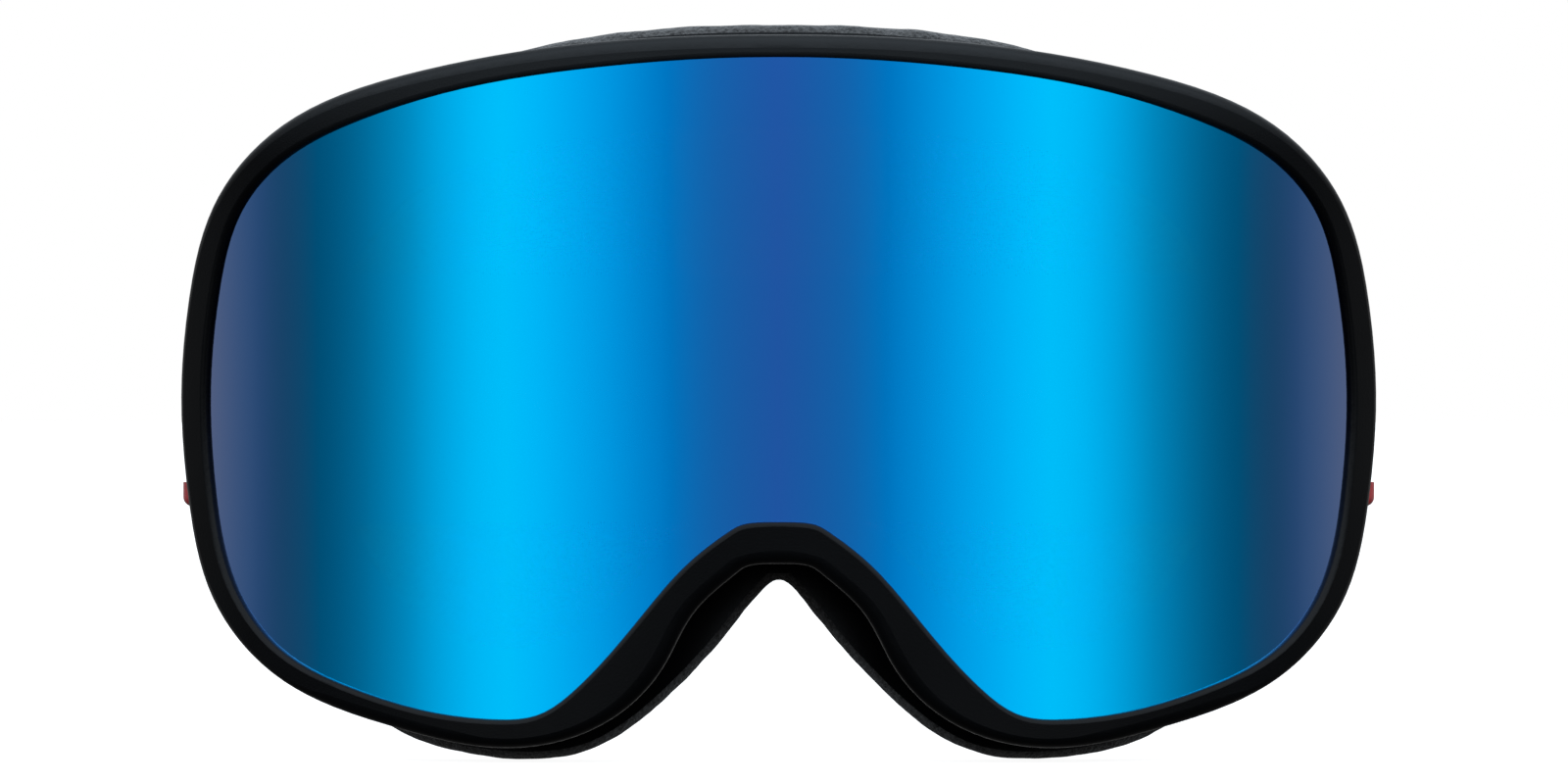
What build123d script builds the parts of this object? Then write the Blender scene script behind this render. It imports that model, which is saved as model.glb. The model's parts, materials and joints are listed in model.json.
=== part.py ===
from build123d import *

import os
from math import cos, radians, sin

# Ski goggles: a framed cylindrical double lens, layered face foam, hinged strap links and an elastic strap.
# Millimetres. +Z is up, the wearer looks along -Y, and the origin is the middle of the face seat: the point
# on the liner, on the mid plane, that lies level with the widest part of the frame.

os.makedirs("parts", exist_ok=True)

# ---- driving dimensions -------------------------------------------------------------------------------
REACH = 400  # longer than anything here, for cutting right through

# Lens: concentric vertical cylinders whose axis stands behind the lens
LENS_RADIUS = 110.0
LENS_APEX_Y = -37.5
LENS_AXIS_Y = LENS_APEX_Y + LENS_RADIUS
OUTER_LENS_T = 1.0
SPACER_T = 4.5
INNER_LENS_T = 0.8
LENS_IN_GROOVE = 1.6  # how far the outer lens reaches under the rim
GROOVE_PLAY = 0.15
SPACER_INSET = (0.4, 4.0)  # the spacer's outer and inner edge, inside the lens opening
INNER_LENS_INSET = 0.6

# Pressure valve over the breather hole in the inner lens
VALVE_ANGLE = 33.0  # round the lens axis, towards +X
VALVE_Z = 33.0
VALVE_RADIUS = 3.5
VALVE_T = 0.8
BREATHER_RADIUS = 0.8

# Frame: rim round the lens, wall behind it, flange that carries the foam
RIM_PROUD = 1.0  # rim front above the lens surface
RIM_DEPTH = 8.5
RIM_OUTER_ROUND = 2.0
RIM_INNER_ROUND = 0.8
WALL_INSET = 1.4
WALL_T = 2.0
FLANGE_T = 2.0
FLANGE_INSET = 0.4  # inside the rim's outline
FLANGE_FOAM_INSET = 1.0  # inside the foam's outline
EYE_PLAY = 1.5  # the flange's opening is this much wider than the foam's
RIM_RADIUS = LENS_RADIUS + RIM_PROUD
BORE_PLAY = 0.3

# Face seat: a cylinder round the face, leaning back at the forehead
FACE_RADIUS = 118.0
FACE_LEAN = 5.0
LINER_T = 1.5
COMFORT_FOAM_T = 6.0
BASE_FOAM_T = 8.0

# Vents
TOP_VENT_X = (-50, -30, -10, 10, 30, 50)
LOW_VENT_X = (36, 50, 64)
TOP_VENT_WIDTH = 14.0
LOW_VENT_WIDTH = 9.0
TOP_VENT_SETBACK = (12.0, 19.0)
LOW_VENT_SETBACK = (10.6, 14.4)
TOP_VENT_Z = (20, 70)
LOW_VENT_Z = (-70, -30)
VENT_FOAM_T = 2.5
TOP_FOAM_SETBACK = (11.5, 19.8)
TOP_FOAM_X = (-61, 61)
LOW_FOAM_SETBACK = (10.0, 14.9)
LOW_FOAM_X = (29, 71)
LOW_FOAM_Z = (-70, -20)

# Strap link and its hinge, given for the right-hand side (+X)
HINGE_X, HINGE_Y, HINGE_Z = 86.9, 21.0, -1.0
PIN_RADIUS = 1.5
PIN_PLAY = 0.05
BARREL_RADIUS = 3.2
KNUCKLE_HEIGHT = 14.6
LUG_HEIGHT = 5.1
LUG_PLAY = 0.2
PIN_HEAD_RADIUS = 3.8
PIN_HEAD_HEIGHT = 3.7
PIN_HEAD_ROUND = 1.4
PIN_HEAD_PLAY = (0.4, 0.6)  # round the head and below it
SOCKET_X = (81.4, 89.0)  # the frame's corner block that carries the lugs
SOCKET_Y = (14.9, 21.7)
POCKET_X = 83.2  # the knuckle's pocket is open outwards and backwards from here
POCKET_Y = 16.7
POCKET_REACH = 20.0
LINK_T = 2.8
LINK_HEIGHT = 46.0
LINK_BAR_AT = 27.0  # hinge axis to the middle of the strap bar
LINK_BAR_WIDTH = 4.4
LINK_BAR_ROUND = 1.3
LINK_CORNER_ROUND = 4.0
LINK_WINDOW = (17.5, 24.8)
LINK_WINDOW_PLAY = 1.5  # the window is this much taller than the strap is wide
LINK_SHOULDER = 8.0  # where the link starts to widen from the knuckle, and where it is full height
LINK_FULL = 13.0
STRAP_RUN_ANGLE = 8.0  # the links and the strap's sides lean in by this much

# Strap
STRAP_WIDTH = 40.0
STRAP_T = 1.8
LAYER_OFFSET = 1.1  # each of the two layers lies this far from the run's middle line
LOOP_RADIUS = 3.3
LOOP_BEND = 3.2
LOOP_EASE = 8.0
LOOP_END = 14.0
RUN_START = 15.0
RUN_LENGTH = 85.0
TAIL_END = 84.5
GRIP_T = 0.7
GRIP_HEIGHT = 3.0
GRIP_PITCH = 12.0
GRIP_HALF_ANGLE = 58.0

# Strap slider
SLIDER_AT = 50.0
SLIDER_LENGTH = 18.0
SLIDER_BAR_T = 1.8
SLIDER_BAR_WIDTH = 3.2
SLIDER_RAIL_T = 3.0
SLIDER_ROUND = 1.2
SLIDER_PLAY = 0.2

# Outlines in the XZ plane: the right-hand half, from the top middle round to the nose
RIM_OUTLINE = [
    (1, 53.4), (30.0, 52.1), (56.0, 47.7), (74.6, 40.4), (85.2, 28.8), (89.4, 14.0),
    (90.6, -0.5), (89.4, -16.5), (85.6, -31.1), (75.3, -43.0), (57.2, -50.3), (42.8, -53.1),
    (31.6, -51.8), (22.9, -47.3), (16.9, -40.5), (12.3, -32.4), (6.4, -27.0), (1, -25.5),
]
LENS_OUTLINE = [
    (1, 50.0), (26.6, 48.6), (48.2, 45.3), (63.0, 40.9), (74.6, 35.0), (81.4, 27.4),
    (84.9, 15.8), (86.4, 0), (85.6, -14.4), (81.9, -29.7), (75.2, -38.4), (63.7, -44.4),
    (51.8, -47.8), (42.6, -48.8), (36.0, -48.1), (30.5, -44.4), (19.7, -32.3), (12.2, -24.2),
    (7.4, -20.6), (1, -19.2),
]
FOAM_OUTLINE = [
    (1, 55.2), (27.0, 53.7), (48.0, 48.8), (68.0, 38.8), (77.6, 26.5), (80.7, 13.0),
    (81.2, -1.0), (80.2, -15.5), (76.5, -29.5), (68.5, -41.7), (57.6, -50.7), (45.4, -54.4),
    (36.6, -54.9), (29.0, -53.7), (22.5, -50.2), (15.2, -43.9), (8.0, -36.0), (1, -27.8),
]
EYE_OUTLINE = [
    (1, 40.5), (30, 38.8), (50, 33.5), (62, 24), (67, 11), (68, -2), (66.5, -16), (60, -28.5),
    (50.5, -36.5), (42, -39), (33, -37.6), (25, -32.2), (17.8, -24.5), (9, -16), (1, -13),
]
LEVEL = (1, 0)
NOSE_SLOPE = (-1, 1)


# ---- shared geometry ----------------------------------------------------------------------------------
def grown(points, grow, end_direction):
    """The half outline's points, each moved outwards along its own normal."""
    moved = []
    last = len(points) - 1
    for i, (x, z) in enumerate(points):
        before, after = points[max(i - 1, 0)], points[min(i + 1, last)]
        along = Vector(after[0] - before[0], after[1] - before[1])
        if i == 0:
            along = Vector(*LEVEL)
        if i == last:
            along = Vector(*end_direction)
        along = along.normalized()
        moved.append((x - grow * along.Y, z + grow * along.X))
    return moved


def outline(points, grow=0.0, end_direction=(-1, 0)):
    """The closed outline through the half's points and their mirror, grown outwards by some millimetres."""
    half_points = grown(points, grow, end_direction)
    with BuildSketch(Plane.XZ) as sketch:
        with BuildLine():
            half = Spline(*half_points, tangents=(LEVEL, end_direction))
            mirror(half, about=Plane.YZ)
            for x, z in (half_points[0], half_points[-1]):
                Line((-x, z), (x, z))
        make_face()
    return sketch.sketch


def behind_lens(radius, setback=0.0):
    """All the space behind a face concentric with the lens, moved back by a setback."""
    with BuildPart() as space:
        with Locations((0, LENS_AXIS_Y + setback, 0)):
            Cylinder(radius, REACH)
    return space.part


def behind_face(setback):
    """All the space behind the leaning face curve, moved forward (-) or back (+) by a setback."""
    with BuildPart() as space:
        with Locations(Location((0, FACE_RADIUS + setback, 0), (-FACE_LEAN, 0, 0))):
            Cylinder(FACE_RADIUS, REACH)
    return space.part


def slab(sketch, front, rear):
    """An outline pushed through along Y and kept between two curved faces."""
    with BuildPart() as body:
        extrude(sketch.moved(Location((0, REACH / 4, 0))), amount=REACH / 2, dir=(0, -1, 0))
        add(front, mode=Mode.INTERSECT)
        add(rear, mode=Mode.SUBTRACT)
    return body.part


def ring(outer, inner, front, rear):
    """The band between two outlines, kept between two curved faces."""
    with BuildPart() as body:
        add(slab(outer, front, rear))
        add(slab(inner, front, rear), mode=Mode.SUBTRACT)
    return body.part


def save(part, name):
    part.label = name
    export_step(part, f"parts/{name}.step")


def both_sides(part, name):
    """Writes the right-hand piece as it is and its mirror image for the left."""
    save(part, f"{name}_right")
    save(mirror(part, about=Plane.YZ), f"{name}_left")


def run_place(along, across=0.0):
    """A location on the right-hand strap run: along it from the link bar, across it outwards."""
    lean = radians(STRAP_RUN_ANGLE)
    t = along + LINK_BAR_AT
    x = HINGE_X - t * sin(lean) + across * cos(lean)
    y = HINGE_Y + t * cos(lean) + across * sin(lean)
    return Location((x, y, HINGE_Z), (0, 0, STRAP_RUN_ANGLE))


# ---- lens ---------------------------------------------------------------------------------------------
inner_face_radius = LENS_RADIUS - OUTER_LENS_T
spacer_rear_radius = inner_face_radius - SPACER_T
inner_lens_rear_radius = spacer_rear_radius - INNER_LENS_T

outer_lens = slab(
    outline(LENS_OUTLINE, LENS_IN_GROOVE),
    behind_lens(LENS_RADIUS),
    behind_lens(inner_face_radius),
)
save(outer_lens, "outer_lens")

lens_spacer = ring(
    outline(LENS_OUTLINE, -SPACER_INSET[0]),
    outline(LENS_OUTLINE, -SPACER_INSET[1]),
    behind_lens(inner_face_radius),
    behind_lens(spacer_rear_radius),
)
save(lens_spacer, "lens_spacer")

valve_place = Location((0, LENS_AXIS_Y, VALVE_Z), (0, 0, VALVE_ANGLE)) * Location((0, 0, 0), (90, 0, 0))
inner_lens_outline = outline(LENS_OUTLINE, -INNER_LENS_INSET)

with BuildPart() as inner_lens:
    add(slab(inner_lens_outline, behind_lens(spacer_rear_radius), behind_lens(inner_lens_rear_radius)))
    with Locations(valve_place):
        Cylinder(BREATHER_RADIUS, REACH, align=(Align.CENTER, Align.CENTER, Align.MIN), mode=Mode.SUBTRACT)
save(inner_lens.part, "inner_lens")

with BuildPart() as pressure_valve:
    with Locations(valve_place):
        Cylinder(VALVE_RADIUS, REACH, align=(Align.CENTER, Align.CENTER, Align.MIN))
    add(behind_lens(inner_lens_rear_radius), mode=Mode.INTERSECT)
    add(behind_lens(inner_lens_rear_radius - VALVE_T), mode=Mode.SUBTRACT)
save(pressure_valve.part, "pressure_valve")

# ---- frame --------------------------------------------------------------------------------------------
rim_front = behind_lens(RIM_RADIUS)
rim_back = behind_lens(RIM_RADIUS, RIM_DEPTH)
foam_front_setback = -(LINER_T + COMFORT_FOAM_T + BASE_FOAM_T)
flange_front = behind_face(foam_front_setback - FLANGE_T)
foam_front = behind_face(foam_front_setback)
bore = outline(RIM_OUTLINE, -(WALL_INSET + WALL_T))

with BuildSketch(Plane.XZ) as flange_outline:
    add(outline(RIM_OUTLINE, -FLANGE_INSET))
    add(outline(FOAM_OUTLINE, -FLANGE_FOAM_INSET, NOSE_SLOPE))

lug_low = HINGE_Z - KNUCKLE_HEIGHT / 2 - LUG_PLAY - LUG_HEIGHT
lug_high = HINGE_Z + KNUCKLE_HEIGHT / 2 + LUG_PLAY + LUG_HEIGHT


def hinge_block():
    """The solid corner of the frame, right-hand side, that the hinge lugs grow from."""
    with BuildPart() as block:
        with Locations(((SOCKET_X[0] + SOCKET_X[1]) / 2, sum(SOCKET_Y) / 2, HINGE_Z)):
            Box(SOCKET_X[1] - SOCKET_X[0], SOCKET_Y[1] - SOCKET_Y[0], lug_high - lug_low)
        with Locations((HINGE_X, HINGE_Y, HINGE_Z)):
            Cylinder(BARREL_RADIUS, lug_high - lug_low)
    return block.part


def hinge_pocket():
    """What the knuckle, the link and the pin need clear, right-hand side."""
    with BuildPart() as pocket:
        with Locations((POCKET_X, POCKET_Y, HINGE_Z)):
            knuckle_gap = KNUCKLE_HEIGHT + 2 * LUG_PLAY
            Box(POCKET_REACH, POCKET_REACH, knuckle_gap, align=(Align.MIN, Align.MIN, Align.CENTER))
        with Locations((HINGE_X, HINGE_Y, HINGE_Z)):
            Cylinder(PIN_RADIUS, lug_high - lug_low)
        with Locations((HINGE_X, HINGE_Y, lug_low)):
            recess_radius = PIN_HEAD_RADIUS + PIN_HEAD_PLAY[0]
            recess_height = PIN_HEAD_HEIGHT + PIN_HEAD_PLAY[1]
            Cylinder(recess_radius, recess_height, align=(Align.CENTER, Align.CENTER, Align.MAX))
    return pocket.part


def vent_slots(centres, width, setbacks, z_range):
    """Slots through the wall that follow the lens curve, for x centres on both sides or across the top."""
    with BuildPart() as slots:
        with Locations(*[(x, 0, sum(z_range) / 2) for x in centres]):
            Box(width, REACH, z_range[1] - z_range[0])
        add(behind_lens(RIM_RADIUS, setbacks[0]), mode=Mode.INTERSECT)
        add(behind_lens(RIM_RADIUS, setbacks[1]), mode=Mode.SUBTRACT)
    return slots.part


low_vent_centres = [side * x for x in LOW_VENT_X for side in (-1, 1)]

with BuildPart() as frame:
    add(slab(outline(RIM_OUTLINE), rim_front, rim_back))
    add(slab(outline(RIM_OUTLINE, -WALL_INSET), rim_back, foam_front))
    add(slab(flange_outline.sketch, flange_front, foam_front))
    hinge_blocks = [hinge_block(), mirror(hinge_block(), about=Plane.YZ)]
    for block in hinge_blocks:
        add(block)
    # the way through for light, the lens groove and the two bores behind it
    add(slab(outline(LENS_OUTLINE), rim_front, behind_lens(LENS_RADIUS)), mode=Mode.SUBTRACT)
    add(
        slab(
            outline(LENS_OUTLINE, LENS_IN_GROOVE + GROOVE_PLAY),
            behind_lens(LENS_RADIUS),
            behind_lens(inner_face_radius - GROOVE_PLAY),
        ),
        mode=Mode.SUBTRACT,
    )
    add(
        slab(outline(LENS_OUTLINE, BORE_PLAY), behind_lens(inner_face_radius), rim_back),
        mode=Mode.SUBTRACT,
    )
with BuildPart() as cavity:
    add(slab(bore, rim_back, flange_front))
    for block in hinge_blocks:
        add(block, mode=Mode.SUBTRACT)
with BuildPart() as frame_shell:
    add(frame.part)
    add(cavity.part, mode=Mode.SUBTRACT)
    add(slab(outline(EYE_OUTLINE, EYE_PLAY), flange_front, foam_front), mode=Mode.SUBTRACT)
    add(hinge_pocket(), mode=Mode.SUBTRACT)
    add(mirror(hinge_pocket(), about=Plane.YZ), mode=Mode.SUBTRACT)
    add(vent_slots(TOP_VENT_X, TOP_VENT_WIDTH, TOP_VENT_SETBACK, TOP_VENT_Z), mode=Mode.SUBTRACT)
    add(vent_slots(low_vent_centres, LOW_VENT_WIDTH, LOW_VENT_SETBACK, LOW_VENT_Z), mode=Mode.SUBTRACT)
    rim_face = faces().filter_by(GeomType.CYLINDER).sort_by(Axis.Y)[0]
    fillet(rim_face.outer_wire().edges(), RIM_OUTER_ROUND)
    rim_face = faces().filter_by(GeomType.CYLINDER).sort_by(Axis.Y)[0]
    fillet(rim_face.inner_wires()[0].edges(), RIM_INNER_ROUND)
save(frame_shell.part, "frame")

# ---- vent foam ----------------------------------------------------------------------------------------
foam_strip_outer = outline(RIM_OUTLINE, -(WALL_INSET + WALL_T))
foam_strip_inner = outline(RIM_OUTLINE, -(WALL_INSET + WALL_T + VENT_FOAM_T))


def vent_foam(setbacks, x_range, z_range):
    """A strip of open-cell foam lying on the inside of the wall, behind the slots."""
    with BuildPart() as strip:
        front = behind_lens(RIM_RADIUS, setbacks[0])
        rear = behind_lens(RIM_RADIUS, setbacks[1])
        add(ring(foam_strip_outer, foam_strip_inner, front, rear))
        with Locations((sum(x_range) / 2, 0, sum(z_range) / 2)):
            Box(x_range[1] - x_range[0], REACH, z_range[1] - z_range[0], mode=Mode.INTERSECT)
    return strip.part


save(vent_foam(TOP_FOAM_SETBACK, TOP_FOAM_X, TOP_VENT_Z), "top_vent_foam")
both_sides(vent_foam(LOW_FOAM_SETBACK, LOW_FOAM_X, LOW_FOAM_Z), "low_vent_foam")

# ---- face foam ----------------------------------------------------------------------------------------
face_outline = outline(FOAM_OUTLINE, 0, NOSE_SLOPE)
eye_outline = outline(EYE_OUTLINE)
base_foam_rear = behind_face(foam_front_setback + BASE_FOAM_T)
comfort_foam_rear = behind_face(-LINER_T)

save(ring(face_outline, eye_outline, foam_front, base_foam_rear), "base_foam")
save(ring(face_outline, eye_outline, base_foam_rear, comfort_foam_rear), "comfort_foam")
save(ring(face_outline, eye_outline, comfort_foam_rear, behind_face(0)), "face_liner")

# ---- strap links and pins -----------------------------------------------------------------------------
link_end = LINK_BAR_AT + LINK_BAR_WIDTH / 2

with BuildPart() as strap_link:
    with BuildSketch(Plane.YZ):
        with BuildLine():
            Polyline(
                (0, -KNUCKLE_HEIGHT / 2),
                (LINK_SHOULDER, -KNUCKLE_HEIGHT / 2),
                (LINK_FULL, -LINK_HEIGHT / 2),
                (link_end, -LINK_HEIGHT / 2),
                (link_end, LINK_HEIGHT / 2),
                (LINK_FULL, LINK_HEIGHT / 2),
                (LINK_SHOULDER, KNUCKLE_HEIGHT / 2),
                (0, KNUCKLE_HEIGHT / 2),
                close=True,
            )
        make_face()
    extrude(amount=LINK_T / 2, both=True)
    corners = edges().filter_by(Axis.X).group_by(Axis.Y)[-1]
    fillet(corners, LINK_CORNER_ROUND)
    Cylinder(BARREL_RADIUS, KNUCKLE_HEIGHT)
    with Locations((0, sum(LINK_WINDOW) / 2, 0)):
        window_height = STRAP_WIDTH + LINK_WINDOW_PLAY
        Box(REACH, LINK_WINDOW[1] - LINK_WINDOW[0], window_height, mode=Mode.SUBTRACT)
    bar_edges = edges().filter_by(Axis.Z).filter_by(lambda e: e.center().Y > LINK_WINDOW[1] - 0.1)
    fillet(bar_edges, LINK_BAR_ROUND)
    Cylinder(PIN_RADIUS + PIN_PLAY, REACH, mode=Mode.SUBTRACT)
hinge_place = Location((HINGE_X, HINGE_Y, HINGE_Z), (0, 0, STRAP_RUN_ANGLE))
both_sides(strap_link.part.moved(hinge_place), "strap_link")

with BuildPart() as hinge_pin:
    with Locations((HINGE_X, HINGE_Y, lug_low)):
        Cylinder(PIN_RADIUS, lug_high - lug_low, align=(Align.CENTER, Align.CENTER, Align.MIN))
        Cylinder(PIN_HEAD_RADIUS, PIN_HEAD_HEIGHT, align=(Align.CENTER, Align.CENTER, Align.MAX))
    fillet(edges().group_by(Axis.Z)[0], PIN_HEAD_ROUND)
both_sides(hinge_pin.part, "hinge_pin")


# ---- strap --------------------------------------------------------------------------------------------
def band(path_builder, width=STRAP_WIDTH, thickness=STRAP_T, z=HINGE_Z):
    """Webbing standing on edge: a line in plan given thickness and height."""
    with BuildPart() as webbing:
        with BuildSketch(Plane.XY.offset(z - width / 2)):
            with BuildLine():
                path_builder()
            trace(line_width=thickness)
        extrude(amount=width)
    return webbing.part


def loop_path():
    """Round the link bar, from the inner layer to the outer one, in the bar's own frame."""
    side, layer = LOOP_RADIUS, LAYER_OFFSET
    FilletPolyline(
        (-layer, LOOP_END), (-layer, LOOP_END - 3), (-side, 2), (-side, -side),
        (side, -side), (side, 2), (layer, LOOP_END - 3), (layer, LOOP_END),
        radius=[LOOP_EASE, LOOP_EASE, LOOP_BEND, LOOP_BEND, LOOP_EASE, LOOP_EASE],
    )


both_sides(band(loop_path, z=0).moved(run_place(0)), "strap_loop")

tail_length = TAIL_END - RUN_START
with BuildPart() as strap_tail:
    Box(STRAP_T, tail_length, STRAP_WIDTH)
both_sides(strap_tail.part.moved(run_place(RUN_START + tail_length / 2, -LAYER_OFFSET)), "strap_tail")

run_start_right = run_place(RUN_START, LAYER_OFFSET).position
run_end_right = run_place(RUN_LENGTH, LAYER_OFFSET).position
rear_radius = run_end_right.X / cos(radians(STRAP_RUN_ANGLE))
rear_centre_y = run_end_right.Y - rear_radius * sin(radians(STRAP_RUN_ANGLE))


def strap_path():
    """The outer layer: side run, round the back of the head, and the other side run."""
    Line((run_start_right.X, run_start_right.Y), (run_end_right.X, run_end_right.Y))
    ThreePointArc(
        (run_end_right.X, run_end_right.Y),
        (0, rear_centre_y + rear_radius),
        (-run_end_right.X, run_end_right.Y),
    )
    Line((-run_end_right.X, run_end_right.Y), (-run_start_right.X, run_start_right.Y))


save(band(strap_path), "strap")

grip_radius = rear_radius - STRAP_T / 2 - GRIP_T / 2


def grip_path():
    CenterArc((0, rear_centre_y), grip_radius, 90 - GRIP_HALF_ANGLE, 2 * GRIP_HALF_ANGLE)


with BuildPart() as grip_lines:
    for row in (-1, 0, 1):
        add(band(grip_path, GRIP_HEIGHT, GRIP_T, HINGE_Z + row * GRIP_PITCH))
save(grip_lines.part, "silicone_grip")

# ---- strap sliders ------------------------------------------------------------------------------------
slot_half = LAYER_OFFSET + STRAP_T / 2 + SLIDER_PLAY
slot_height = STRAP_WIDTH + 4 * SLIDER_PLAY
slider_height = slot_height + 2 * SLIDER_RAIL_T
slider_depth = 2 * (slot_half + SLIDER_BAR_T)
bar_centre = slot_half + SLIDER_BAR_T / 2

with BuildPart() as strap_slider:
    with Locations(*[(0, 0, side * (slot_height + SLIDER_RAIL_T) / 2) for side in (-1, 1)]):
        Box(slider_depth, SLIDER_LENGTH, SLIDER_RAIL_T)
    end_bar_at = (SLIDER_LENGTH - SLIDER_BAR_WIDTH) / 2
    with Locations((bar_centre, -end_bar_at, 0), (bar_centre, end_bar_at, 0), (-bar_centre, 0, 0)):
        Box(SLIDER_BAR_T, SLIDER_BAR_WIDTH, slider_height)
    fillet(edges().filter_by(Axis.X), SLIDER_ROUND)
both_sides(strap_slider.part.moved(run_place(SLIDER_AT)), "strap_slider")
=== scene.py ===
"""Ski goggles on a plain white studio floor, seen straight from the front."""
import json
from math import atan2, cos, pi, radians, sin, tau

import bmesh
import bpy
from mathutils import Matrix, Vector


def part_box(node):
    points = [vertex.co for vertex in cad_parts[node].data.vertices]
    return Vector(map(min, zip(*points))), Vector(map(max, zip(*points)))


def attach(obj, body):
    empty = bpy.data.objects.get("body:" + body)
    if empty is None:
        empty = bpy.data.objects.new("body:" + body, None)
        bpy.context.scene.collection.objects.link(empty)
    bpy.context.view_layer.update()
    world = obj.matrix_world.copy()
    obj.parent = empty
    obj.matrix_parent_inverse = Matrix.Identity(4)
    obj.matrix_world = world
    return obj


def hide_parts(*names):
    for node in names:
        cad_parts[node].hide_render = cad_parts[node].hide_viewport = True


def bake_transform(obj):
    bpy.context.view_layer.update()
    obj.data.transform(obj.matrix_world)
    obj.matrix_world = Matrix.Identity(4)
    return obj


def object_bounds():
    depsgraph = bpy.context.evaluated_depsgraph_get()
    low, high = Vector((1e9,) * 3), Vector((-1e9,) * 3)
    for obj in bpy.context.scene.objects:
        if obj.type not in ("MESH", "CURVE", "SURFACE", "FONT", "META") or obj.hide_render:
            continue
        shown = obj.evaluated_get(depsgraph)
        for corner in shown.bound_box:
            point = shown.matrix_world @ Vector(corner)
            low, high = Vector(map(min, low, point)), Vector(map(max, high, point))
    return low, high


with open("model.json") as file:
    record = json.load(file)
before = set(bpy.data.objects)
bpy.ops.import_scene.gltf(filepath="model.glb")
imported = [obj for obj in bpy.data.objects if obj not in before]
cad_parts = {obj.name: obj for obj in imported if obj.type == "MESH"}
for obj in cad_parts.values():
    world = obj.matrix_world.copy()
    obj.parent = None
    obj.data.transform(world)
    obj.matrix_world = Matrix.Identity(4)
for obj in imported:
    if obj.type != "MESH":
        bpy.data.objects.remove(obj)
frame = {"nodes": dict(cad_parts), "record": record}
cad_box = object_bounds()
nodes = frame["nodes"]
joints = {joint["name"]: joint for joint in frame["record"]["behaviour"]["joints"]}
SIDES = {"right": 1, "left": -1}


# ---- node-tree helpers --------------------------------------------------------------------------------
class Tree:
    """A material's node tree, built a node at a time."""

    def __init__(self, name):
        self.material = bpy.data.materials.new(name)
        self.material.use_nodes = True
        self.nodes = self.material.node_tree.nodes
        self.links = self.material.node_tree.links
        self.shader = self.nodes["Principled BSDF"]
        self.object_space = self.add("ShaderNodeTexCoord").outputs["Object"]

    def add(self, kind, settings=None, **inputs):
        node = self.nodes.new(kind)
        for key, value in (settings or {}).items():
            setattr(node, key, value)
        for key, value in inputs.items():
            self.put(node.inputs[key.replace("_", " ")], value)
        return node

    def put(self, socket, value):
        if isinstance(value, bpy.types.NodeSocket):
            self.links.new(value, socket)
        else:
            socket.default_value = value

    def set(self, **inputs):
        for key, value in inputs.items():
            self.put(self.shader.inputs[key.replace("_", " ")], value)

    def math(self, operation, a, b=0.0, c=0.0):
        node = self.nodes.new("ShaderNodeMath")
        node.operation = operation
        for socket, value in zip(node.inputs, (a, b, c)):
            self.put(socket, value)
        return node.outputs[0]

    def noise(self, scale, detail):
        node = self.add("ShaderNodeTexNoise", Vector=self.object_space, Scale=scale, Detail=detail)
        return node.outputs["Fac"]

    def pores(self, scale):
        node = self.add("ShaderNodeTexVoronoi", Vector=self.object_space, Scale=scale)
        return node.outputs["Distance"]

    def ramp(self, factor, *stops):
        node = self.add("ShaderNodeValToRGB", Fac=factor)
        elements = node.color_ramp.elements
        while len(elements) < len(stops):
            elements.new(0.5)
        for element, (position, colour) in zip(elements, stops):
            element.position = position
            element.color = (*colour, 1.0)
        return node.outputs["Color"]

    def spread(self, factor, low, high):
        return self.add("ShaderNodeMapRange", Value=factor, To_Min=low, To_Max=high).outputs[0]

    def bump(self, height, depth):
        self.set(Normal=self.add("ShaderNodeBump", Height=height, Distance=depth).outputs[0])


def grey(value, tint=(1.0, 1.0, 1.0)):
    return tuple(value * t for t in tint)


# ---- materials ----------------------------------------------------------------------------------------
DRIFT_SCALE = 60  # slow changes over a moulding
GRAIN_SCALE = 3800  # spark-eroded grain
GRAIN_DEPTH = 0.00002
BROW_START = 0.034  # heights between which the frame turns paler
BROW_END = 0.05
BROW_SHARE = 0.84  # of the frame's shade; the slow drift has the rest


def moulded_plastic(name, dark, light, gloss, roughness=(0.36, 0.5)):
    """Moulded plastic: a fine spark-eroded grain, and a slow drift in its gloss."""
    t = Tree(name)
    slow = t.noise(DRIFT_SCALE, 2)
    fine = t.noise(GRAIN_SCALE, 2)
    t.set(Base_Color=t.ramp(slow, (0.3, dark), (0.7, light)), Roughness=t.spread(slow, *roughness))
    t.set(Specular_IOR_Level=gloss)
    t.bump(fine, GRAIN_DEPTH)
    return t.material


def frame_material(name, low, brow):
    """The frame's satin plastic, paler by height along the brow.

    The shade stands in for light: under the studio lights alone the brow came out too dark.
    """
    t = Tree(name)
    height = t.add("ShaderNodeSeparateXYZ", Vector=t.object_space).outputs[2]
    upward = {"interpolation_type": "SMOOTHSTEP"}
    paler = t.add("ShaderNodeMapRange", upward, Value=height, From_Min=BROW_START, From_Max=BROW_END)
    slow = t.noise(DRIFT_SCALE, 2)
    by_height = t.math("MULTIPLY", paler.outputs[0], BROW_SHARE)
    shade = t.math("MULTIPLY_ADD", slow, 1 - BROW_SHARE, by_height)
    t.set(Base_Color=t.ramp(shade, (0.0, low), (1.0, brow)), Roughness=t.spread(shade, 0.24, 0.34))
    t.set(Specular_IOR_Level=0.04)
    t.bump(t.noise(GRAIN_SCALE, 2), GRAIN_DEPTH)
    return t.material


def foam_material(name, dark, light, cell=1500, depth=0.00035):
    """Open-cell foam: small pores with darker bottoms, a painted shade."""
    t = Tree(name)
    cells = t.pores(cell)
    blotch = t.noise(260, 4)
    mixed = t.math("MULTIPLY_ADD", blotch, 0.45, t.math("MULTIPLY", cells, 0.8))
    # the pores' darker bottoms are painted shade; the blotches are the foam's own uneven tone
    t.set(Base_Color=t.ramp(mixed, (0.15, dark), (0.75, light)), Roughness=0.95, Sheen_Weight=0.08)
    t.set(Specular_IOR_Level=0.2)
    t.bump(t.math("ADD", mixed, t.noise(2600, 2)), depth)
    return t.material


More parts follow.
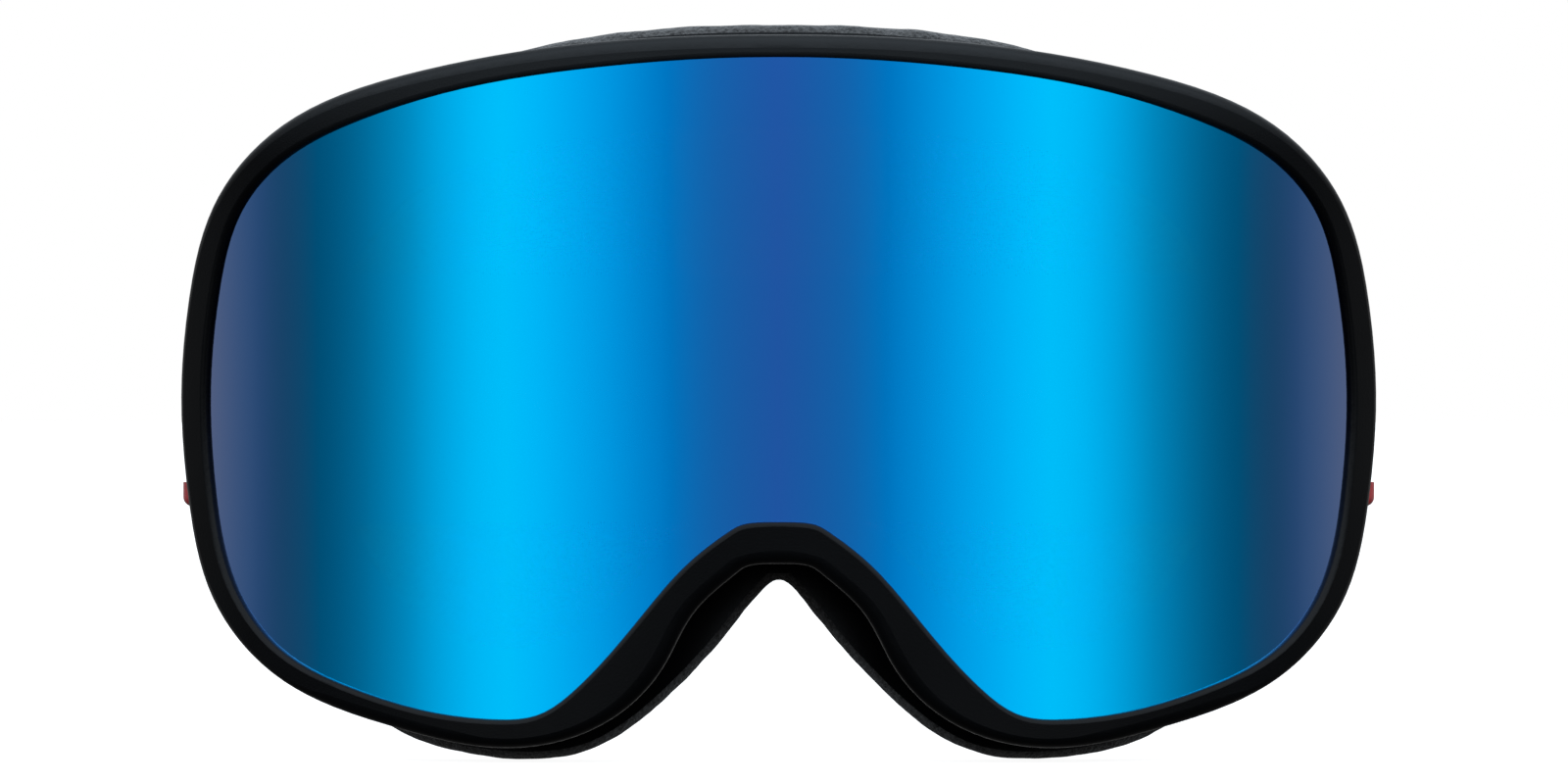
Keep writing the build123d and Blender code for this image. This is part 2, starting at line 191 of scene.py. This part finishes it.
def fleece_material(name):
    """Brushed fleece: short matted pile with a soft sheen."""
    t = Tree(name)
    pile = t.noise(1900, 5)
    drift = t.noise(120, 2)
    both = t.math("MULTIPLY_ADD", drift, 0.5, t.math("MULTIPLY", pile, 0.5))
    t.set(Base_Color=t.ramp(both, (0.3, grey(0.005)), (0.7, grey(0.016))), Roughness=1.0)
    t.set(Sheen_Weight=0.2, Sheen_Roughness=0.5, Specular_IOR_Level=0.1)
    t.bump(pile, 0.00045)
    return t.material


WEFT_PITCH = 0.0011
RIB_PITCH = 0.0016
STRIPE_AT = 0.0125  # from the strap's middle
STRIPE_HALF = 0.0009


def elastic_material(name):
    """Woven elastic, in metres along and across the strap: ribs, a weft and a pair of stripes."""
    t = Tree(name)
    uv = t.add("ShaderNodeUVMap", {"uv_map": "strap"}).outputs[0]
    split = t.add("ShaderNodeSeparateXYZ", Vector=uv)
    along, across = split.outputs[0], split.outputs[1]
    weft = t.math("SINE", t.math("MULTIPLY", along, tau / WEFT_PITCH))
    rib_phase = t.math("MULTIPLY", across, tau / RIB_PITCH)
    rib = t.math("SINE", rib_phase)
    weave = t.math("MULTIPLY_ADD", t.math("MULTIPLY", rib, weft), 0.25, 0.5)
    height = t.math("MULTIPLY_ADD", rib, 0.25, weave)
    fuzz = t.noise(2600, 3)
    height = t.math("MULTIPLY_ADD", fuzz, 0.3, height)
    off_centre = t.math("ABSOLUTE", across)
    off_stripe = t.math("ABSOLUTE", t.math("SUBTRACT", off_centre, STRIPE_AT))
    stripe = t.math("LESS_THAN", off_stripe, STRIPE_HALF)
    # painted shade: the weave's low places are darker than its raised threads, in the stripes too; the
    # stripes themselves are the strap's own colour
    base = t.ramp(height, (0.25, grey(0.003)), (0.95, grey(0.013)))
    accent = t.ramp(height, (0.25, grey(0.02)), (0.95, grey(0.055)))
    mix = t.add("ShaderNodeMix", {"data_type": "RGBA"})
    t.put(mix.inputs[0], stripe)
    t.put(mix.inputs[6], base)
    t.put(mix.inputs[7], accent)
    t.set(Base_Color=mix.outputs[2], Roughness=0.85, Specular_IOR_Level=0.15)
    t.set(Sheen_Weight=0.08, Sheen_Roughness=0.4)
    t.bump(height, 0.00022)
    return t.material


def lens_material(name):
    """A mirror coating whose blue drifts across the lens, with faint cloudy unevenness; part of that
    drift is painted reflection.
    """
    t = Tree(name)
    split = t.add("ShaderNodeSeparateXYZ", Vector=t.object_space)
    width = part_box("outer_lens")[1][0]
    off_centre = t.math("DIVIDE", t.math("ABSOLUTE", split.outputs[0]), width)
    drift = t.math("MULTIPLY_ADD", t.noise(14, 2), 0.03, off_centre)
    # the coating's own blue plus painted reflection: the bright cyan part way out stands in for the side
    # lights' reflection, and the dim lilac edges for the tint a slanted view gives
    coat_and_reflection = t.ramp(
        drift,
        (0.02, (0.035, 0.23, 0.92)),
        (0.20, (0.0, 0.32, 0.95)),
        (0.48, (0.0, 0.54, 1.0)),
        (0.80, (0.0, 0.43, 1.0)),
        (0.90, (0.09, 0.30, 0.80)),
        (1.0, (0.20, 0.27, 0.52)),
    )
    t.set(Base_Color=coat_and_reflection, Metallic=1.0, Roughness=0.04, Alpha=0.96)
    return t.material


def clear_lens_material(name):
    """A faintly brown clear lens."""
    t = Tree(name)
    t.set(Base_Color=t.ramp(t.noise(20, 2), (0.3, (0.10, 0.075, 0.07)), (0.7, (0.12, 0.09, 0.085))))
    t.set(Roughness=0.04, Alpha=0.45, IOR=1.58)
    return t.material


def silicone_material(name):
    """Grip silicone: smooth, with a slight unevenness."""
    t = Tree(name)
    t.set(Base_Color=t.ramp(t.noise(400, 2), (0.3, grey(0.03)), (0.7, grey(0.045))), Roughness=0.3)
    t.bump(t.noise(1500, 2), 0.00005)
    return t.material


def thread_material(name):
    """Sewing thread with a fine twist."""
    t = Tree(name)
    twist = t.noise(4000, 2)
    t.set(Base_Color=t.ramp(twist, (0.3, grey(0.03)), (0.7, grey(0.08))))
    t.set(Roughness=0.6, Sheen_Weight=0.1)
    t.bump(twist, 0.00005)
    return t.material


COOL = (1.0, 1.2, 1.6)
COOL_BROW = (1.0, 1.12, 1.22)
frame_black = frame_material("frame_black", grey(0.0003, COOL), grey(0.005, COOL_BROW))
link_black = moulded_plastic("link_black", grey(0.003, COOL), grey(0.005, COOL), 0.2)
slider_black = moulded_plastic("slider_black", grey(0.003), grey(0.005), 0.15, (0.28, 0.4))
pin_red = moulded_plastic("pin_red", (0.12, 0.004, 0.006), (0.17, 0.006, 0.008), 0.3, (0.3, 0.42))
foam_dark = foam_material("foam_dark", grey(0.004), grey(0.026))
foam_soft = foam_material("foam_soft", grey(0.008), grey(0.034), 2200, 0.0002)
vent_foam = foam_material("vent_foam", grey(0.003), grey(0.025), 900, 0.0006)
fleece = fleece_material("fleece")
elastic = elastic_material("elastic")
lens_mirror = lens_material("lens_mirror")
lens_clear = clear_lens_material("lens_clear")
silicone = silicone_material("silicone")
thread = thread_material("thread")


def dress(name, material):
    """Puts a material on a CAD node."""
    slots = nodes[name].data.materials
    slots.clear()
    slots.append(material)


dress("frame", frame_black)
dress("outer_lens", lens_mirror)
dress("inner_lens", lens_clear)
dress("pressure_valve", slider_black)
dress("silicone_grip", silicone)
for side in SIDES:
    dress(f"strap_link_{side}", link_black)
    dress(f"strap_slider_{side}", slider_black)
    dress(f"hinge_pin_{side}", pin_red)


SHARP_ANGLE = 40  # degrees; edges sharper than this are rounded


def round_edges(name, width):
    """A small moulded radius on a CAD node's sharp edges, as a modifier."""
    bevel = nodes[name].modifiers.new("moulded_edges", "BEVEL")
    bevel.width = width
    bevel.segments = 2
    bevel.limit_method = "ANGLE"
    bevel.angle_limit = radians(SHARP_ANGLE)
    bevel.harden_normals = True


for side in SIDES:
    round_edges(f"strap_link_{side}", 0.0005)
    round_edges(f"strap_slider_{side}", 0.0004)


# ---- foams --------------------------------------------------------------------------------------------
LUMP_SIZE = 0.006


def soften(node, material, voxel, rounds, puff=0.0, lumps=0.0):
    """A foam piece: the node's form remeshed, its cut edges rounded over, its faces a little uneven."""
    name = f"{node}_soft"
    piece = bpy.data.objects.new(name, nodes[node].data.copy())
    piece.matrix_world = nodes[node].matrix_world
    bpy.context.collection.objects.link(piece)
    piece.data.materials.clear()
    piece.data.materials.append(material)
    remesh = piece.modifiers.new("remesh", "REMESH")
    remesh.mode = "VOXEL"
    remesh.voxel_size = voxel
    smooth = piece.modifiers.new("smooth", "SMOOTH")
    smooth.factor = 0.5
    smooth.iterations = rounds
    if puff:
        swell = piece.modifiers.new("swell", "DISPLACE")
        swell.strength = puff
        swell.mid_level = 0.0
    if lumps:
        clouds = bpy.data.textures.new(name, "CLOUDS")
        clouds.noise_scale = LUMP_SIZE
        lumpy = piece.modifiers.new("lumps", "DISPLACE")
        lumpy.texture = clouds
        lumpy.texture_coords = "LOCAL"
        lumpy.strength = lumps
    depsgraph = bpy.context.evaluated_depsgraph_get()
    done = bpy.data.meshes.new_from_object(piece.evaluated_get(depsgraph))
    piece.modifiers.clear()
    piece.data = done
    done.shade_smooth()
    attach(piece, "mask")
    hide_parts(node)


soften("base_foam", foam_dark, 0.0010, 6, 0.0002, 0.0004)
soften("comfort_foam", foam_soft, 0.0010, 8, 0.0003, 0.0005)
soften("face_liner", fleece, 0.0006, 6, 0.0002, 0.0003)
soften("top_vent_foam", vent_foam, 0.0007, 2)
for side in SIDES:
    soften(f"low_vent_foam_{side}", vent_foam, 0.0007, 2)
soften("lens_spacer", foam_dark, 0.0009, 2)


# ---- strap --------------------------------------------------------------------------------------------
STRAP_WIDTH = 0.040
STRAP_HALF_T = 0.0009
BAR_AT = 0.027
LAYER = 0.0011
LOOP_RADIUS = 0.0033
LOOP_END = 0.014
RUN_END = 0.085
TAIL_END = 0.0845
STEP = 0.0025
EASE_STEPS = 12  # where the layers close up behind the bar
BAR_STEPS = 14  # half way round the bar
FACE_STEPS = 16  # across the webbing
slide_axis = joints["strap_slider_right_slide"]["axis"]
lean = atan2(-slide_axis[0], slide_axis[1])
hinge = Vector(joints["strap_link_right_swing"]["pos_m"])
along_run = Vector((-sin(lean), cos(lean), 0))
out_of_run = Vector((cos(lean), sin(lean), 0))


def on_run(along, across):
    return hinge + along_run * (along + BAR_AT) + out_of_run * across


def ease(t):
    """How far the strap has opened, from the closed layers to the bar, t of the way along."""
    return (LOOP_RADIUS - LAYER) * t * t * (3 - 2 * t)


def strap_line():
    """The right-hand strap in plan: from its middle, round the bar and back along the inside."""
    corner = on_run(RUN_END, LAYER)
    radius = corner.x / cos(lean)
    centre = Vector((0, corner.y - radius * sin(lean), hinge.z))
    turns = int(radius * (pi / 2 - lean) / STEP)
    for i in range(turns):
        angle = pi / 2 - (pi / 2 - lean) * i / turns
        yield centre + radius * Vector((cos(angle), sin(angle), 0))
    straight = int((RUN_END - LOOP_END) / STEP)
    for i in range(straight):
        yield on_run(RUN_END + (LOOP_END - RUN_END) * i / straight, LAYER)
    for i in range(EASE_STEPS):
        t = i / EASE_STEPS
        yield on_run(LOOP_END * (1 - t), LAYER + ease(t))
    for i in range(BAR_STEPS):
        angle = -pi * i / BAR_STEPS
        yield on_run(LOOP_RADIUS * sin(angle), LOOP_RADIUS * cos(angle))
    for i in range(EASE_STEPS):
        t = 1 - i / EASE_STEPS
        yield on_run(LOOP_END * (1 - t), -LAYER - ease(t))
    back = int((TAIL_END - LOOP_END) / STEP)
    for i in range(back + 1):
        yield on_run(LOOP_END + (TAIL_END - LOOP_END) * i / back, -LAYER)


def strap_section():
    """The webbing's cross-section as (across the width, out of the face), with rounded selvedges."""
    flat = STRAP_WIDTH / 2 - STRAP_HALF_T
    face = [-flat + 2 * flat * i / FACE_STEPS for i in range(FACE_STEPS + 1)]

    def selvedge(middle, eighths):
        turns = [tau * n / 8 for n in eighths]
        return [(middle + STRAP_HALF_T * sin(a), STRAP_HALF_T * cos(a)) for a in turns]

    ring = [(v, STRAP_HALF_T) for v in face] + selvedge(flat, (1, 2, 3))
    ring += [(v, -STRAP_HALF_T) for v in reversed(face)] + selvedge(-flat, (5, 6, 7))
    return ring


def new_object(name, mesh, material):
    piece = bpy.data.objects.new(name, mesh)
    bpy.context.collection.objects.link(piece)
    mesh.materials.append(material)
    return piece


def strap_piece(side):
    """One half of the strap as a swept ribbon with strap coordinates."""
    line = list(strap_line())
    section = strap_section()
    mesh = bpy.data.meshes.new(f"strap_{side}_soft")
    build = bmesh.new()
    uv = build.loops.layers.uv.new("strap")
    rings = []
    travelled = [0.0]
    for a, b in zip(line, line[1:]):
        travelled.append(travelled[-1] + (b - a).length)
    for i, point in enumerate(line):
        ahead = line[min(i + 1, len(line) - 1)] - line[max(i - 1, 0)]
        if i == 0:
            ahead = Vector((1, 0, 0))
        normal = Vector((-ahead.y, ahead.x, 0)).normalized()
        ring = []
        for across, out in section:
            place = point + normal * out + Vector((0, 0, across))
            ring.append(build.verts.new((place.x * SIDES[side], place.y, place.z)))
        rings.append(ring)
    count = len(section)
    for i in range(len(rings) - 1):
        for j in range(count):
            k = (j + 1) % count
            corners = [(i, j), (i, k), (i + 1, k), (i + 1, j)]
            if side == "left":
                corners.reverse()
            face = build.faces.new([rings[a][b] for a, b in corners])
            face.smooth = True
            for loop, (a, b) in zip(face.loops, corners):
                loop[uv].uv = (travelled[a], section[b][0])
    build.faces.new(reversed(rings[-1]))
    build.to_mesh(mesh)
    build.free()
    return new_object(f"strap_{side}_soft", mesh, elastic)


def bend_with_link(piece):
    """Bakes the webbing's placement into its mesh."""
    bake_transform(piece)


STITCH_LENGTH = 0.0026
STITCH_PITCH = 0.0036
STITCH_SINK = 0.0002  # how much deeper a stitch's ends lie than its middle
THREAD_RADIUS = 0.0003
PULLED_IN = 0.00014  # how far the thread is drawn into the webbing
THREAD_SIDES = 6
STITCH_RINGS = 7
SEAM_HALF = 0.0165  # from the strap's middle to the rows along it
SEAM_COLUMNS = (0.0725, 0.0835)  # along the run
ROW_START = 0.0745
ROW_COUNT = 3
COLUMN_INSET = 0.0022
COLUMN_COUNT = 9
UP = Vector((0, 0, 1))


def stitches(side):
    """A box of stitches, inside and out, where the two layers are sewn together at the tail's end."""
    mesh = bpy.data.meshes.new(f"stitches_{side}")
    build = bmesh.new()
    flip = Vector((SIDES[side], 1, 1))

    def stitch(along, z, across, lengthwise):
        reach = (along_run if lengthwise else UP) * STITCH_LENGTH / 2
        middle = on_run(along, across) + Vector((0, 0, z))
        side_way = UP if lengthwise else along_run
        inwards = -STITCH_SINK if across > 0 else STITCH_SINK
        rings = []
        for k in range(STITCH_RINGS):
            t = -1 + 2 * k / (STITCH_RINGS - 1)
            thick = THREAD_RADIUS * max(0.25, (1 - t * t) ** 0.5)
            centre = middle + reach * t + out_of_run * (inwards * t * t)
            ring = []
            for n in range(THREAD_SIDES):
                a = tau * n / THREAD_SIDES
                spoke = side_way * cos(a) + out_of_run * sin(a)
                ring.append(build.verts.new((centre + spoke * thick) * flip))
            rings.append(ring)
        for a, b in zip(rings, rings[1:]):
            for n in range(THREAD_SIDES):
                k = (n + 1) % THREAD_SIDES
                build.faces.new((a[n], a[k], b[k], b[n])).smooth = True
        build.faces.new(rings[0])
        build.faces.new(rings[-1])

    outside = LAYER + STRAP_HALF_T - PULLED_IN
    for across in (outside, -outside):
        for row in (-SEAM_HALF, SEAM_HALF):
            for n in range(ROW_COUNT):
                stitch(ROW_START + STITCH_PITCH * n, row, across, True)
        for column in SEAM_COLUMNS:
            for n in range(COLUMN_COUNT):
                stitch(column, -SEAM_HALF + COLUMN_INSET + STITCH_PITCH * n, across, False)
    bmesh.ops.recalc_face_normals(build, faces=build.faces)
    build.to_mesh(mesh)
    build.free()
    return new_object(f"stitches_{side}", mesh, thread)


for side in SIDES:
    half_strap = strap_piece(side)
    bend_with_link(half_strap)
    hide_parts(f"strap_loop_{side}", f"strap_tail_{side}", "strap")
    sewn = stitches(side)
    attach(sewn, "mask")

# ---- camera: level, straight on, far away -------------------------------------------------------------
CAMERA_DISTANCE = 2.66  # from the front of the rim
VIEW_WIDTH = 0.2336  # what the picture spans, side to side, in the plane of the rim's front
SENSOR = 36.0
CAMERA_ASIDE = 0.0008
CAMERA_LIFT = 0.0001
camera_data = bpy.data.cameras.new("camera")
camera_data.sensor_width = SENSOR
camera_data.lens = SENSOR * CAMERA_DISTANCE / VIEW_WIDTH
camera = bpy.data.objects.new("camera", camera_data)
camera.location = (CAMERA_ASIDE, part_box("frame")[0][1] - CAMERA_DISTANCE, CAMERA_LIFT)
camera.rotation_euler = (radians(90), 0, 0)
bpy.context.collection.objects.link(camera)
bpy.context.scene.camera = camera

# ---- floor --------------------------------------------------------------------------------------------
FLOOR_REACH = 30.0
FLOOR_GAP = 0.0005  # under the lowest point of the goggles
floor_mesh = bpy.data.meshes.new("floor")
level = cad_box[0][2] - FLOOR_GAP
corners = [(x * FLOOR_REACH, y * FLOOR_REACH, level) for x, y in ((-1, -1), (1, -1), (1, 1), (-1, 1))]
floor_mesh.from_pydata(corners, [], [(0, 1, 2, 3)])
floor_tree = Tree("floor_white")
floor_tree.set(Base_Color=(0.12, 0.12, 0.12, 1), Roughness=0.9)
floor_tree.set(Emission_Color=(1, 1, 1, 1), Emission_Strength=0.93)
floor = new_object("floor", floor_mesh, floor_tree.material)
floor.visible_glossy = False
floor.visible_diffuse = False

# ---- studio: white to look at, soft tall lights either side, a soft overhead --------------------------
world = bpy.data.worlds.new("studio")
world.use_nodes = True
wn, wl = world.node_tree.nodes, world.node_tree.links
coords = wn.new("ShaderNodeTexCoord")
split = wn.new("ShaderNodeSeparateXYZ")
wl.new(coords.outputs["Generated"], split.inputs[0])


def world_math(operation, a, b=0.0, c=0.0):
    node = wn.new("ShaderNodeMath")
    node.operation = operation
    for socket, value in zip(node.inputs, (a, b, c)):
        if isinstance(value, bpy.types.NodeSocket):
            wl.new(value, socket)
        else:
            socket.default_value = value
    return node.outputs[0]


azimuth = world_math("ARCTAN2", split.outputs[0], world_math("MULTIPLY", split.outputs[1], -1.0))
turn = world_math("DIVIDE", world_math("ABSOLUTE", azimuth), pi)
LIGHT_ROUND = (  # degrees away from straight in front, brightness
    (0, 0.40), (12, 0.40), (24, 0.72), (36, 0.96), (44, 1.0), (52, 0.92), (62, 0.50), (74, 0.20),
    (86, 0.13), (94, 0.24), (104, 0.42), (125, 0.5), (180, 0.5),
)
ramp = wn.new("ShaderNodeValToRGB")
ramp.color_ramp.interpolation = "B_SPLINE"
while len(ramp.color_ramp.elements) < len(LIGHT_ROUND):
    ramp.color_ramp.elements.new(0.5)
for element, (degrees, brightness) in zip(ramp.color_ramp.elements, LIGHT_ROUND):
    element.position = degrees / 180
    element.color = (brightness, brightness, brightness, 1)
wl.new(turn, ramp.inputs[0])


def world_step(value, start, end):
    """A smooth step from 0 at the start to 1 at the end."""
    node = wn.new("ShaderNodeMapRange")
    node.interpolation_type = "SMOOTHSTEP"
    node.inputs[1].default_value = start
    node.inputs[2].default_value = end
    wl.new(value, node.inputs[0])
    return node.outputs[0]


def world_mix(factor, colour, other):
    node = wn.new("ShaderNodeMix")
    node.data_type = "RGBA"
    wl.new(factor, node.inputs[0])
    wl.new(colour, node.inputs[6])
    node.inputs[7].default_value = (*other, 1)
    return node.outputs[2]


OVERHEAD = (4.8, 5.4, 6.0)  # the light from above, strongest towards the front
OVERHEAD_BEHIND = 0.15  # its share behind the goggles
UNDERSIDE = (0.12, 0.12, 0.12)  # the dim light from below
front = world_step(split.outputs[1], 0.3, -0.2)
overhead = world_math(
    "MULTIPLY",
    world_step(split.outputs[2], 0.0, 0.45),
    world_math("MULTIPLY_ADD", front, 1 - OVERHEAD_BEHIND, OVERHEAD_BEHIND),
)
from_above = world_mix(overhead, ramp.outputs[0], OVERHEAD)
under = world_mix(world_step(split.outputs[2], -0.1, -0.45), from_above, UNDERSIDE)
lights = wn["Background"]
wl.new(under, lights.inputs[0])
seen = wn.new("ShaderNodeBackground")
seen.inputs[0].default_value = (1, 1, 1, 1)
path = wn.new("ShaderNodeLightPath")
choose = wn.new("ShaderNodeMixShader")
wl.new(path.outputs["Is Camera Ray"], choose.inputs[0])
wl.new(lights.outputs[0], choose.inputs[1])
wl.new(seen.outputs[0], choose.inputs[2])
wl.new(choose.outputs[0], wn["World Output"].inputs[0])
bpy.context.scene.world = world
bpy.context.scene.view_settings.view_transform = "Standard"
